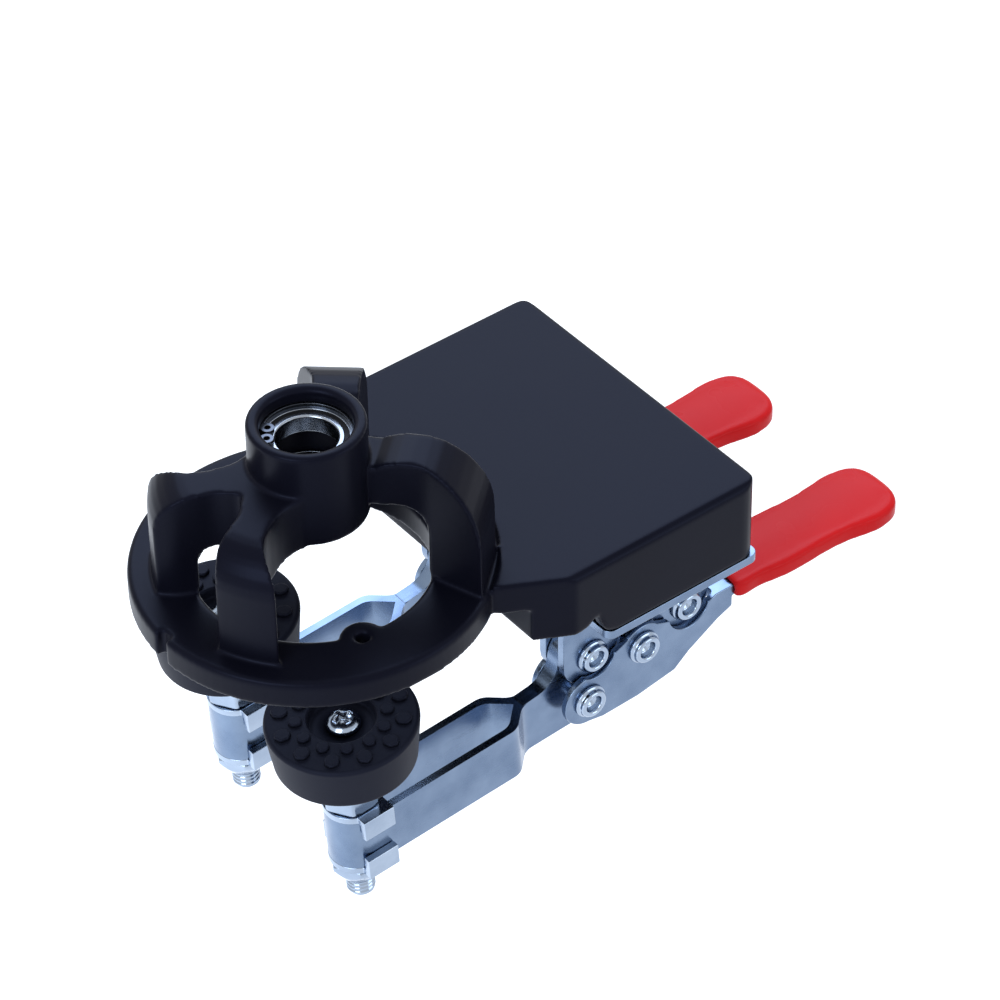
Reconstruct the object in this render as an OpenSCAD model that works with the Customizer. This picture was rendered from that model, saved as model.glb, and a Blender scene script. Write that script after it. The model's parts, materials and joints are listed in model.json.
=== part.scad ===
// Drilling guide for concealed door hinges. A moulded ring and block carry a bearing tower
// on four arched legs, and two push-up toggle clamps hang under the block.
// X points towards the grips, Z points up, and the origin is the centre of the upper
// bearing's bore, on the drill's axis. All sizes are in millimetres.

/* [Ring] */
// Outer diameter of the ring
ring_d = 72; // [69:0.5:76]
// Diameter of the hole in the ring
ring_hole_d = 47; // [45:0.5:49]
// Thickness of the ring
ring_t = 6; // [5:0.5:8]
// Radius on the upper edges of the ring
ring_edge_r = 1; // [0.5:0.1:1.5]
// Width of the sighting notch at the front of the ring
notch_w = 3; // [2:0.5:5]
// Depth of the sighting notch
notch_d = 1.8; // [1:0.1:3]
// Distance between the two guide holes for the hinge screws
guide_pitch = 48; // [46:0.5:50]
// Distance from the drill's axis forward to the line of the guide holes
guide_offset = 6; // [5:0.5:8]
// Diameter of a guide hole
guide_hole_d = 2.8; // [2:0.1:3.5]
// Radius of the lobe round a guide hole
guide_lobe_r = 4.5; // [4:0.1:5.5]

/* [Block] */
// Length from the front of the ring to the rear of the block
body_l = 118; // [116:1:124]
// Width of the block
body_w = 75; // [75:1:80]
// Height of the block's top above the ring
block_rise = 1; // [0.5:0.1:2]
// Depth of the block's underside below the top of the ring
block_drop = 18.3; // [16:0.1:22]
// Distance from the drill's axis to the fence that meets the edge of a door
fence_x = 27.5; // [25:0.5:29]
// Depth of the fence below the top of the ring
fence_drop = 14; // [12:0.5:15.5]
// Distance from the drill's axis to the square part of the block
shoulder_x = 35.1; // [34:0.1:37]
// Length of the chamfer on each front corner
corner_cut_l = 13; // [11:0.5:14]
// Width of the chamfer on each front corner
corner_cut_w = 7.1; // [5:0.1:8]
// Radius of the block's rear corners
rear_corner_r = 4.5; // [3:0.1:6]
// Chamfer on the upper edges of the block
block_edge = 1; // [0.5:0.1:1.5]
// Thickness of the block's outer walls
wall_t = 3; // [2.5:0.1:4]
// Thickness of the ribs inside the block
rib_t = 2.5; // [2:0.1:3]

/* [Tower] */
// Outer diameter of the bearing tower
hub_d = 23.2; // [23:0.1:25]
// Height of the tower's rim above the ring
hub_top = 34.6; // [34:0.1:38]
// Height of the tower's lower end above the ring
hub_bottom = 13; // [11.5:0.1:13.5]
// Depth from the rim to the upper bearing
upper_sink = 4; // [3.5:0.1:4.5]
// Depth from the tower's lower end to the lower bearing
lower_sink = 3; // [2.5:0.1:3.5]
// Distance from the drill's axis to the inner faces of the legs
leg_in_r = 23.2; // [22.5:0.1:23.4]
// Distance from the drill's axis to the outer faces of the front legs
front_leg_r = 31.1; // [30:0.1:33]
// Distance from the drill's axis to the outer faces of the rear legs
rear_leg_r = 34.4; // [33.5:0.1:35]
// Angle of the rear legs from the centre line of the guide
rear_leg_angle = 49; // [47:0.5:51]
// Height of the front arches
front_arch_h = 23.4; // [21.5:0.1:25]
// Height of the rear arches
rear_arch_h = 27.4; // [26:0.1:29]
// Height of the window under a front arch
front_window_h = 10; // [8:0.1:12]
// Height of the window under a rear arch
rear_window_h = 17; // [15:0.1:18]
// Outer corner radius of a front arch
front_arch_r = 8; // [5:0.5:9]
// Inner corner radius of a front arch
front_window_r = 3; // [2:0.5:5]
// Reach of a rear arch's long outer curve
rear_arch_r = 14.5; // [12:0.5:17]
// Inner corner radius of a rear arch
rear_window_r = 5.5; // [4:0.5:7]
// Width of a rear arch
rear_arch_w = 9.5; // [8:0.5:11]
// Shift of a rear arch from the drill's axis towards the centre line of the guide
rear_arch_shift = 3.8; // [2:0.1:4.5]
// Widening of a rear leg's outer end, on its side away from the centre line
rear_leg_flare = 5.2; // [3:0.1:5.5]

/* [Bearings] */
// Bore of each bearing, for the drill's shaft
bearing_bore_d = 12; // [11.5:0.1:12.2]
// Outer diameter of each bearing
bearing_od = 18; // [17.9:0.1:18.4]
// Width of each bearing
bearing_w = 4; // [3.8:0.1:4.5]
// Outer diameter of the inner race
inner_race_od = 14.2; // [14:0.1:14.3]
// Inner diameter of the outer race
outer_race_id = 16.2; // [16.1:0.1:16.4]
// Diameter of a ball
ball_d = 1.6; // [1.4:0.1:1.7]
// Number of balls in a bearing
ball_n = 14; // [10:1:16]
// Thickness of a retaining ring
circlip_t = 1; // [0.8:0.1:1.2]
// Depth of a retaining ring's groove beyond the bearing's diameter
circlip_bite = 0.45; // [0.3:0.05:0.6]

/* [Clamps] */
// Distance from the guide's centre line to the centre of each clamp
clamp_y = 19.6; // [19:0.1:21]
// Thickness of the bracket sheet
bracket_t = 2; // [1.5:0.1:2.1]
// Distance from the rear of the block forward to the front edge of the brackets
bracket_l = 38.8; // [38:0.1:40]
// Drop of the arm's pivot below the block
arm_pivot_drop = 19.7; // [19:0.1:21]
// Distance of the arm's pivot behind the front edge of the brackets
arm_pivot_in = 7.1; // [7:0.1:7.5]
// Drop of the link's pivot below the block
link_pivot_drop = 19.5; // [19:0.1:21]
// Distance of the link's pivot behind the arm's pivot
link_pivot_in = 24.3; // [24:0.1:25]
// Drop of the handle's pivot below the arm's pivot
handle_pivot_drop = 10; // [10:0.1:10.5]
// Distance of the handle's pivot forward of the arm's pivot
handle_pivot_back = 2; // [1.5:0.1:2.5]
// Distance of the toggle pin forward of the link's pivot
link_reach = 12.3; // [12:0.1:12.8]
// Drop of the toggle pin below the link's pivot
link_drop = 3.5; // [3:0.1:4]
// Diameter of the rivet shafts
rivet_d = 4; // [3.5:0.1:4.2]
// Diameter of the rivet heads
rivet_head_d = 7.4; // [7:0.1:7.6]
// Height of the rivet heads
rivet_head_h = 2; // [1.5:0.1:2.4]
// Radius of the handle's front end round its pivot
handle_end_r = 6; // [5:0.1:6.1]
// Radius of the handle's lobe round the toggle pin
toggle_lobe_r = 5.4; // [5:0.1:5.6]
// Thickness of the handle's sheet
handle_t = 1.5; // [1.2:0.1:1.6]

/* [Clamp arms] */
// Droop of a closed arm towards its front, in degrees
arm_droop = 3.5; // [3:0.1:4]
// Height of the arm's strip
arm_h = 12.8; // [12:0.1:14]
// Drop of the arm's upper edge below its pivot
arm_top_drop = 5.4; // [5:0.1:6]
// Distance from the arm's pivot to the spindle
spindle_reach = 57.7; // [57:0.1:59]
// Width across the arm's two strips
arm_w = 12; // [11.4:0.1:12.4]
// Thickness of the arm's strip
arm_t = 1.7; // [1.4:0.1:2.1]
// Distance from the arm's pivot to where the strips have closed up
pinch_reach = 16.5; // [15.5:0.1:17.5]
// Length over which the strips close up
pinch_l = 4.5; // [3.5:0.1:5.5]

/* [Spindles] */
// Thread diameter of a spindle
spindle_d = 6; // [5.5:0.1:6.2]
// Length of a spindle, from its tip to its head's underside
spindle_l = 46.9; // [46:0.1:50]
// Length of a spindle below the arm
spindle_tail = 12.1; // [11:0.1:14]
// Diameter of a spindle's domed head
spindle_head_d = 7; // [6.5:0.1:8]
// Height of a spindle's head
spindle_head_h = 2.6; // [2:0.1:2.8]
// Width across the flats of the nuts
nut_af = 10; // [9:0.1:10.4]
// Height of a nut
nut_h = 5; // [4.5:0.1:5.5]
// Thickness of a flanged washer
washer_t = 1.6; // [1.2:0.1:2]
// Length of a washer's folded lips along the arm
washer_l = 7.3; // [6:0.1:9]
// Reach of a washer's lips forward of the spindle
washer_front = 2.7; // [2:0.1:3.5]
// Depth of a washer's lips down the arm's sides
washer_lip = 3.4; // [2:0.1:4]
// Diameter of a rubber pad
pad_d = 30; // [28:0.5:31]
// Height of a rubber pad
pad_h = 11.3; // [10.5:0.1:12]
// Diameter of the recess in a pad's top
pad_recess_d = 13.5; // [12:0.1:15]
// Depth of the recess in a pad's top
pad_recess_h = 3.2; // [2.8:0.1:3.6]
// Depth of the tread on a pad
tread_h = 1; // [0.6:0.1:1.5]
// Width of the tread's grooves
tread_w = 1.4; // [1:0.1:1.8]
// Number of tread blocks in each ring
tread_n = 16; // [10:1:20]

/* [Grips] */
// Length of a handle's neck, from its crown behind the link to the grip
neck_l = 4.4; // [3.9:0.1:6]
// Length of a grip
grip_l = 45.5; // [42:0.5:50]
// Greatest width of a grip
grip_w = 18.6; // [17:0.1:20]
// Thickness of a grip
grip_t = 5.6; // [5.4:0.1:7]
// Height of a grip's top face above the arm's pivot
grip_rise = 1.2; // [0.8:0.1:2.6]
// Wall of a grip round the handle's paddle
grip_wall = 1.4; // [1.2:0.1:1.6]

/* [Hidden] */

$fn = 64;
arc_steps = 6;
cut = 1;                 // overrun of every cut past the face that it leaves
running = 0.06;          // radial clearance of a pin in its hole
side_play = 0.2;         // gap between sheets that slide past each other
soft_gap = 0.3;          // gap between curved faces of different pieces

ring_r = ring_d / 2;
block_rear = body_l - ring_r;
half_w = body_w / 2;
block_h = block_rise + block_drop;
hub_r = hub_d / 2;
seat_r = bearing_od / 2;
upper_z = hub_top - upper_sink - bearing_w / 2;
lower_z = hub_bottom + lower_sink + bearing_w / 2;
groove_r = seat_r + circlip_bite;
groove_play = 0.1;
rim_chamfer = 0.7;
shoulder_step = 1.1;     // height of the shoulder that a bearing's outer race rests on
track_r = (inner_race_od + outer_race_id) / 4;
race_play = 0.12;

// Clamp points as x and z, measured from the drill's axis and the top of the ring
bracket_x = block_rear - bracket_l;
arm_pin = [bracket_x + arm_pivot_in, -block_drop - arm_pivot_drop];
link_pin = [arm_pin[0] + link_pivot_in, -block_drop - link_pivot_drop];
handle_pin = arm_pin + [-handle_pivot_back, -handle_pivot_drop];
toggle_pin = link_pin + [-link_reach, -link_drop];

// Layers of a clamp, from its centre plane outwards
plate_half = arm_t;
web_in = plate_half + side_play;
web_out = web_in + bracket_t;
cheek_in = web_out + side_play;
cheek_out = cheek_in + handle_t;
rivet_r = rivet_d / 2;
bore_r = rivet_r + running;

function unit(v) = v / norm(v);

// A round corner at b between the directions of a and c, limited to half of each side
function corner(a, b, c, r) =
  let(
    u = unit(a - b),
    v = unit(c - b),
    half = acos(u * v) / 2,
    room = min(norm(a - b), norm(c - b)) / 2,
    reach = min(r / tan(half), room),
    true_r = reach * tan(half),
    centre = b + unit(u + v) * true_r / sin(half),
    from = b + u * reach - centre,
    to = b + v * reach - centre,
    start = atan2(from[1], from[0]),
    turn = (atan2(to[1], to[0]) - start + 540) % 360 - 180
  )
  [for (i = [0:arc_steps]) centre + true_r * [cos(start + turn * i / arc_steps), sin(start + turn * i / arc_steps)]];

// An outline through points of x, y and corner radius
function rounded(p) =
  let(n = len(p))
  [for (i = [0:n - 1])
    let(
      a = p[(i + n - 1) % n],
      b = p[i],
      c = p[(i + 1) % n]
    )
    for (q = b[2] > 0 ? corner([a[0], a[1]], [b[0], b[1]], [c[0], c[1]], b[2]) : [[b[0], b[1]]]) q];

// A smooth closed curve through points, a few steps to each stretch
function smooth(p, steps) =
  let(n = len(p))
  [for (i = [0:n - 1], s = [0:steps - 1])
    let(
      a = p[(i + n - 1) % n],
      b = p[i],
      c = p[(i + 1) % n],
      d = p[(i + 2) % n],
      t = s / steps
    )
    b + (c - a) * t / 2 + (a * 2 - b * 5 + c * 4 - d) * t * t / 2 + (b * 3 - a - c * 3 + d) * t * t * t / 2];

// Draws the ring's own frame with the origin moved to the upper bearing
module placed() {
  translate([0, 0, -upper_z]) children();
}

// Stands an x and z outline up across the y axis, from y0 to y1
module upright(y0, y1) {
  translate([0, y1, 0]) rotate([90, 0, 0]) linear_extrude(y1 - y0) children();
}

// A clamp's frame: side is -1 for the left clamp and 1 for the right
module clamp(side) {
  placed() translate([0, side * clamp_y, 0]) children();
}

// The droop of a closed arm about its pivot
module arm_frame() {
  translate([arm_pin[0], 0, arm_pin[1]]) rotate([0, -arm_droop, 0]) children();
}

// A pin along y through an x and z point
module cross_pin(p, r, half_l) {
  translate([p[0], 0, p[1]]) rotate([90, 0, 0]) cylinder(r = r, h = half_l * 2, center = true);
}

// A pin's hole, cut right through sheets that end at half_l
module cross_hole(p, r, half_l) {
  cross_pin(p, r, half_l + cut);
}

// A square with round upper corners, used as a section
module round_top(w, h, r) {
  square([w, h - r]);
  translate([r, 0]) square([w - 2 * r, h]);
  for (x = [r, w - r]) translate([x, h - r]) circle(r);
}

// Ring
module ring_solid() {
  translate([0, 0, -ring_t])
    rotate_extrude($fn = 128)
      translate([ring_hole_d / 2, 0]) round_top(ring_r - ring_hole_d / 2, ring_t, ring_edge_r);
  for (side = [-1, 1]) guide_place(side) translate([0, 0, -ring_t]) cylinder(r = guide_lobe_r, h = ring_t);
}

module guide_place(side) {
  translate([-guide_offset, side * guide_pitch / 2, 0]) children();
}

// Block outline seen from above, with its front corners cut and its neck running into the ring
waist = [shoulder_x - corner_cut_l, half_w - corner_cut_w];
neck_r = 1.5;
module block_plan() {
  polygon(rounded([
    [waist[0], -waist[1], 0],
    [shoulder_x, -half_w, neck_r],
    [block_rear, -half_w, rear_corner_r],
    [block_rear, half_w, rear_corner_r],
    [shoulder_x, half_w, neck_r],
    [waist[0], waist[1], 0],
    [waist[0] - neck_r, waist[1] - neck_r, 0],
    [waist[0] - neck_r, -waist[1] + neck_r, 0]
  ]));
}

// Side view of the block: the fence lobe, the notch behind it and the deep rear part
lobe_l = 10.5;
notch_rise = 2.1;
notch_l = 2.7;
step_l = 3.6;
tail_r = 4;
module block_side() {
  lobe_x = fence_x + lobe_l;
  notch_x = lobe_x + notch_l;
  step_x = notch_x + step_l;
  polygon(rounded([
    [waist[0] - neck_r - cut, block_rise, 0],
    [waist[0] - neck_r - cut, -ring_t, 0],
    [fence_x, -ring_t, 0],
    [fence_x, -fence_drop, 0],
    [lobe_x, -fence_drop, tail_r],
    [notch_x, -fence_drop + notch_rise, 0],
    [step_x - notch_l / 2, -block_drop, tail_r],
    [block_rear, -block_drop, 0],
    [block_rear, block_rise - block_edge, 0],
    [block_rear - block_edge, block_rise, 0]
  ]));
}

// End view of the block, with its upper edges cut
module block_end() {
  polygon([
    [-half_w, -block_drop],
    [half_w, -block_drop],
    [half_w, block_rise - block_edge],
    [half_w - block_edge, block_rise],
    [-half_w + block_edge, block_rise],
    [-half_w, block_rise - block_edge]
  ]);
}

module block_solid() {
  intersection() {
    translate([0, 0, -block_drop]) linear_extrude(block_h) block_plan();
    upright(-half_w, half_w) block_side();
    translate([waist[0] - body_w, 0, 0]) rotate([90, 0, 90]) linear_extrude(body_w * 2) block_end();
  }
}

// Cells between the ribs under the block, and the bosses for the bracket screws
flange_mid = (half_w + clamp_y + web_out) / 2;
inner_mid = (clamp_y - web_out) / 2 + rib_t / 2;
screw_xs = [bracket_x + arm_pivot_in, block_rear - arm_pivot_in];
screw_ys = [flange_mid, inner_mid];
screw_r = 1.75;
screw_l = 12;
boss_r = 4.4;
cell_r = 1.5;
cell_front = fence_x + wall_t;
cell_rear = block_rear - wall_t;
cell_n = 3;
module cells() {
  cell_w = (half_w - wall_t - rib_t * 1.5) / 2;
  cell_l = (cell_rear - cell_front - rib_t * (cell_n - 1)) / cell_n;
  for (side = [-1, 1], row = [0, 1], i = [0:cell_n - 1]) {
    x = cell_front + i * (cell_l + rib_t);
    y = rib_t / 2 + row * (cell_w + rib_t);
    translate([x, side * (y + cell_w / 2) - cell_w / 2, -block_drop - cut])
      linear_extrude(block_drop + cut + block_rise - wall_t)
        polygon(rounded([
          [0, 0, cell_r],
          [cell_l, 0, cell_r],
          [cell_l, cell_w, cell_r],
          [0, cell_w, cell_r]
        ]));
  }
}

module screw_places() {
  for (side = [-1, 1], x = screw_xs, y = screw_ys) translate([x, side * y, -block_drop]) children();
}

// A front arch's section through the drill's axis, from the tower's wall to the leg
arch_root_r = hub_r - wall_t / 2;
front_arch_rise = 1.6;   // rise of a front arch's top towards the tower
module front_arch_section() {
  polygon(rounded([
    [arch_root_r, front_arch_h + front_arch_rise, 0],
    [front_leg_r, front_arch_h, front_arch_r],
    [front_leg_r, -ring_edge_r, 0],
    [leg_in_r, -ring_edge_r, 0],
    [leg_in_r, front_window_h, front_window_r],
    [arch_root_r, hub_bottom, 0]
  ]));
}

// Both front arches from above: x, y and corner radius as shares of the legs' outer distance
front_plan_shares = [
  [-0.16, 0.29, 0],
  [-0.4, 0.27, 0.3],
  [-0.665, 0.4, 0.4],
  [-0.74, 0.68, 0],
  [-1.02, 0.4, 0],
  [-0.86, 0.24, 0.3],
  [-0.62, 0.13, 0.3],
  [-0.49, 0, 0.05]
];
module front_plan() {
  half = [for (s = front_plan_shares) s * front_leg_r];
  last = len(half) - 1;
  polygon(rounded(concat(half, [for (i = [last - 1:-1:0]) [half[i][0], -half[i][1], half[i][2]]])));
}

// A rear arch's side view: its top runs from the tower along one long curve into the leg
rear_curve_from = -30;   // angle of the curve's start before its highest point
rear_curve_z = 12;       // height of the curve's foot on the leg
rear_window_sag = 1.3;   // drop of the window's top towards the tower
rear_curve_steps = 12;
module rear_arch_side() {
  curve_x = rear_leg_r - rear_arch_r;
  curve_h = rear_arch_h - rear_curve_z;
  outer = [for (i = [0:rear_curve_steps])
    let(t = rear_curve_from + (90 - rear_curve_from) * i / rear_curve_steps)
    [curve_x + rear_arch_r * sin(t), rear_curve_z + curve_h * cos(t)]];
  foot = [leg_in_r, -ring_edge_r];
  root = [hub_r / 2, rear_window_h - rear_window_sag];
  polygon(concat(
    [[hub_r / 2, outer[0][1]]],
    outer,
    [[rear_leg_r, -ring_edge_r], foot],
    corner(foot, [leg_in_r, rear_window_h], root, rear_window_r),
    [root]
  ));
}

// A rear arch from above, straight as far as the leg and then flared outwards
rear_flare_r = 10;
module rear_arch_plan() {
  outward = rear_arch_w / 2 - rear_arch_shift;
  inward = -rear_arch_w / 2 - rear_arch_shift;
  polygon(rounded([
    [hub_r / 2, inward, 0],
    [rear_leg_r + cut, inward, 0],
    [rear_leg_r + cut, outward + rear_leg_flare, 0],
    [leg_in_r - cut, outward, rear_flare_r],
    [hub_r / 2, outward, 0]
  ]));
}

module arches() {
  intersection() {
    rotate_extrude($fn = 128) front_arch_section();
    translate([0, 0, -ring_edge_r]) linear_extrude(hub_top) front_plan();
  }
  difference() {
    for (side = [-1, 1])
      mirror([0, side < 0 ? 1 : 0, 0]) rotate([0, 0, rear_leg_angle]) intersection() {
        upright(-rear_arch_w * 2, rear_arch_w * 2) rear_arch_side();
        translate([0, 0, -ring_edge_r]) linear_extrude(hub_top) rear_arch_plan();
      }
    cylinder(r = arch_root_r, h = hub_top);
  }
}

// The tower's outside, and its bore with a seat and a ring groove for each bearing
module hub_solid() {
  rotate_extrude($fn = 96) polygon([
    [0, hub_bottom],
    [hub_r - rim_chamfer / 2, hub_bottom],
    [hub_r, hub_bottom + rim_chamfer / 2],
    [hub_r, hub_top - rim_chamfer / 2],
    [hub_r - rim_chamfer / 2, hub_top],
    [0, hub_top]
  ]);
}

module hub_bores() {
  upper_floor = upper_z - bearing_w / 2;
  lower_roof = lower_z + bearing_w / 2;
  translate([0, 0, hub_bottom - cut]) cylinder(r = seat_r - shoulder_step, h = hub_top - hub_bottom + 2 * cut);
  translate([0, 0, upper_floor]) cylinder(r = seat_r, h = hub_top - upper_floor + cut);
  translate([0, 0, hub_bottom - cut]) cylinder(r = seat_r, h = lower_roof - hub_bottom + cut);
  translate([0, 0, hub_top - rim_chamfer]) cylinder(r1 = seat_r, r2 = seat_r + rim_chamfer, h = rim_chamfer);
  translate([0, 0, hub_bottom]) cylinder(r1 = seat_r + rim_chamfer, r2 = seat_r, h = rim_chamfer);
  for (z = [upper_z + bearing_w / 2, lower_z - bearing_w / 2 - circlip_t - groove_play])
    translate([0, 0, z]) cylinder(r = groove_r, h = circlip_t + groove_play);
}

module jig_body() {
  color([0.10, 0.11, 0.13]) placed() difference() {
    union() {
      difference() {
        union() {
          ring_solid();
          difference() {
            block_solid();
            cylinder(r = ring_r, h = block_rise + cut, $fn = 128);
            cells();
          }
          arches();
        }
        translate([0, 0, -block_drop - cut]) difference() {
          cylinder(d = ring_hole_d, h = block_drop + 2 * cut, $fn = 128);
          for (side = [-1, 1]) guide_place(side) cylinder(r = guide_lobe_r, h = block_drop + cut);
        }
      }
      intersection() {
        screw_places() cylinder(r = boss_r, h = block_drop + block_rise - wall_t / 2);
        block_solid();
      }
      hub_solid();
    }
    hub_bores();
    screw_places() translate([0, 0, -cut]) cylinder(r = screw_r, h = screw_l + cut);
    for (side = [-1, 1])
      guide_place(side) translate([0, 0, -ring_t - cut]) cylinder(d = guide_hole_d, h = ring_t + 2 * cut);
    translate([-ring_r - cut, -notch_w / 2, -ring_t - cut]) cube([notch_d + cut, notch_w, ring_t + 2 * cut]);
  }
}

// Bearings: each piece is drawn round the origin and then raised to its bearing's height
module outer_race(z) {
  color("silver") placed() translate([0, 0, z]) rotate_extrude($fn = 96) difference() {
    translate([outer_race_id / 2, -bearing_w / 2]) square([(bearing_od - outer_race_id) / 2, bearing_w]);
    translate([track_r, 0]) circle(d = ball_d + 2 * race_play, $fn = 48);
  }
}

race_edge = 0.3;
module inner_race(z) {
  bore_half = bearing_bore_d / 2;
  race_r = inner_race_od / 2;
  color("gainsboro") placed() translate([0, 0, z]) rotate_extrude($fn = 96) difference() {
    polygon([
      [bore_half, -bearing_w / 2 + race_edge],
      [bore_half + race_edge, -bearing_w / 2],
      [race_r, -bearing_w / 2],
      [race_r, bearing_w / 2],
      [bore_half + race_edge, bearing_w / 2],
      [bore_half, bearing_w / 2 - race_edge]
    ]);
    translate([track_r, 0]) circle(d = ball_d + 2 * race_play, $fn = 48);
  }
}

module ball_places() {
  for (i = [0:ball_n - 1]) rotate([0, 0, 360 * i / ball_n]) translate([track_r, 0, 0]) children();
}

module balls(z) {
  color("white") placed() translate([0, 0, z]) ball_places() sphere(d = ball_d, $fn = 24);
}

cage_h_share = 1.5;
module cage(z) {
  race_gap = (outer_race_id - inner_race_od) / 2;
  color("goldenrod") placed() translate([0, 0, z]) difference() {
    rotate_extrude($fn = 96)
      translate([track_r - race_gap / 2 + race_play, -ball_d * cage_h_share / 2])
        square([race_gap - 2 * race_play, ball_d * cage_h_share]);
    ball_places() rotate([0, 90, 0]) cylinder(d = ball_d + race_play, h = race_gap * 2, center = true);
  }
}

seal_t = 0.35;
seal_inset = 0.1;
module seals(z) {
  inner = inner_race_od / 2 + running;
  color([0.12, 0.12, 0.12]) placed() translate([0, 0, z]) for (side = [-1, 1])
    translate([0, 0, side * (bearing_w / 2 - seal_inset - seal_t / 2)]) difference() {
      cylinder(d = outer_race_id, h = seal_t, center = true, $fn = 96);
      cylinder(r = inner, h = seal_t + cut, center = true, $fn = 96);
    }
}

// A retaining ring with a gap and two ears, each with a hole for the pliers
ear_angle = 12;
ear_r = 1.35;
ear_hole_r = 0.6;
circlip_turn = 142;
module circlip(z) {
  ear_centre = seat_r - ear_r;
  color("lightsteelblue") placed() translate([0, 0, z]) rotate([0, 0, circlip_turn]) difference() {
    union() {
      difference() {
        cylinder(r = groove_r, h = circlip_t, $fn = 96);
        translate([0, 0, -cut]) cylinder(r = seat_r - circlip_bite, h = circlip_t + 2 * cut, $fn = 96);
        translate([seat_r, 0, 0]) cube([seat_r, ear_r * 2, circlip_t * 3], center = true);
      }
      for (side = [-1, 1]) rotate([0, 0, side * ear_angle]) translate([ear_centre, 0, 0]) cylinder(r = ear_r, h = circlip_t);
    }
    for (side = [-1, 1])
      rotate([0, 0, side * ear_angle]) translate([ear_centre, 0, -cut]) cylinder(r = ear_hole_r, h = circlip_t + 2 * cut);
  }
}

// Brackets: a web that carries the pivots, folded out into a flange under the block
web_lobe_r = 6.6;
link_lobe_r = 6;
web_valley = 3.6;        // height of the web's hollow above the line of the pivots
module web_outline() {
  top = -block_drop;
  polygon(rounded([
    [bracket_x, top, 0],
    [bracket_x, arm_pin[1] - web_lobe_r, web_lobe_r],
    [arm_pin[0] + web_lobe_r, arm_pin[1] - web_lobe_r, web_lobe_r],
    [arm_pin[0] + web_lobe_r, arm_pin[1] + web_valley, web_valley],
    [link_pin[0] - link_lobe_r - web_valley, arm_pin[1] + web_valley, web_valley],
    [link_pin[0] - link_lobe_r, link_pin[1] - link_lobe_r, link_lobe_r],
    [link_pin[0] + link_lobe_r, link_pin[1] - link_lobe_r, link_lobe_r],
    [link_pin[0] + link_lobe_r, top, 0]
  ]));
}

// A plate whose flange folds away along +y, with a row of screws at screw_y from the clamp's middle
flange_gap = 1.7;
flange_corner_r = 2;
module bracket(flange_w, screw_y) {
  difference() {
    union() {
      upright(web_in, web_out) web_outline();
      translate([0, web_in, -block_drop - bracket_t]) linear_extrude(bracket_t)
        polygon(rounded([
          [bracket_x, 0, 0],
          [bracket_x, flange_w, flange_corner_r],
          [block_rear, flange_w, flange_corner_r],
          [block_rear, 0, 0]
        ]));
    }
    for (p = [arm_pin, link_pin]) cross_hole(p, rivet_r, web_out);
    for (x = screw_xs)
      translate([x, screw_y, -block_drop - bracket_t - cut]) cylinder(r = screw_r, h = bracket_t + 2 * cut);
  }
}

module outer_bracket(side) {
  color("lightsteelblue") clamp(side) mirror([0, side < 0 ? 1 : 0, 0])
    bracket(half_w - clamp_y - web_in, flange_mid - clamp_y);
}

module inner_bracket(side) {
  color("lightsteelblue") clamp(side) mirror([0, side > 0 ? 1 : 0, 0])
    bracket(clamp_y - web_in - flange_gap, clamp_y - inner_mid);
}

// Pan-head screws from below, with a cross recess
screw_head_r = 3.4;
screw_head_h = 2.2;
screw_recess = 1.2;
screw_head_taper = 0.7;
screw_tip_gap = 1;
module bracket_screws(side) {
  color("silver") placed() for (x = screw_xs, y = screw_ys)
    translate([x, side * y, -block_drop - bracket_t]) difference() {
      union() {
        cylinder(r = screw_r, h = bracket_t + screw_l - screw_tip_gap);
        translate([0, 0, -screw_head_h]) cylinder(r1 = screw_head_r - screw_head_taper, r2 = screw_head_r, h = screw_head_h);
      }
      translate([0, 0, -screw_head_h]) cross_recess(screw_head_r, screw_recess);
    }
}

// Length and width of a cross recess's arms, as shares of the head's radius
recess_shares = [1.1, 0.3];
module cross_recess(r, depth) {
  for (turn = [0, 90]) rotate([0, 0, turn]) cube([r * recess_shares[0], r * recess_shares[1], depth * 2], center = true);
}

// Tubular rivets: a shaft between two raised heads, hollow at both ends
rivet_dimple_share = 0.5;
head_round = 0.5;
module rivet(p, half_l) {
  color("gainsboro") translate([p[0], 0, p[1]]) rotate([90, 0, 0]) rotate_extrude($fn = 48) difference() {
    union() {
      translate([0, -half_l]) square([rivet_r, half_l * 2]);
      for (side = [-1, 1]) mirror([0, side < 0 ? 1 : 0]) translate([0, half_l]) rivet_head_section();
    }
    for (side = [-1, 1]) mirror([0, side < 0 ? 1 : 0])
      translate([0, half_l + rivet_head_h * rivet_dimple_share])
        square([rivet_head_d * rivet_dimple_share / 2, rivet_head_h]);
  }
}

module rivet_head_section() {
  head_r = rivet_head_d / 2;
  square([head_r, rivet_head_h - head_round]);
  square([head_r - head_round, rivet_head_h]);
  translate([head_r - head_round, rivet_head_h - head_round]) circle(head_round, $fn = 24);
}

// Arms: a strip bent round the spindle into a loop, closed up to two touching plates at the pivots
arm_tail_r = 7;
arm_lobe_r = 6;
loop_r = arm_w / 2;
slot_r = loop_r - arm_t;
pinch_start = pinch_reach + pinch_l;

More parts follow.
